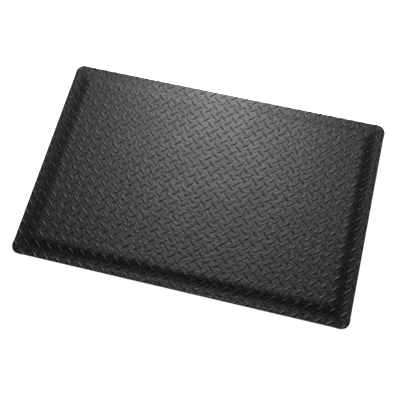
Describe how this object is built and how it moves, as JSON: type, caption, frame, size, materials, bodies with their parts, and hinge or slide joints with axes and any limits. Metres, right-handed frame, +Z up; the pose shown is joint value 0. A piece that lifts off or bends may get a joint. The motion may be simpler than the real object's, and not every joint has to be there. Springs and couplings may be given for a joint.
{
  "type": "anti fatigue mat",
  "caption": "Rectangular cushioned floor mat: embossed vinyl wear sheet with a lug tread over a closed cell foam core, sloped to a low rim on all four sides.",
  "frame": {"origin": "on the floor under the middle of the mat", "axes": "+Z up, +X along the long side, +Y along the short side"},
  "size_m": [0.9154, 0.6106, 0.0143],
  "materials": {
    "wear_vinyl": "satin black solid vinyl with a fine grain",
    "bond_film": "dull amber film of laminating adhesive",
    "foam": "matt charcoal closed cell vinyl foam",
    "grip_skin": "matt black soft gripping skin"
  },
  "bodies": {
    "root": {"wear_sheet": "wear_vinyl", "top_bond_film": "bond_film", "foam_core": "foam", "base_bond_film": "bond_film", "grip_backing": "grip_skin"}
  },
  "joints": []
}
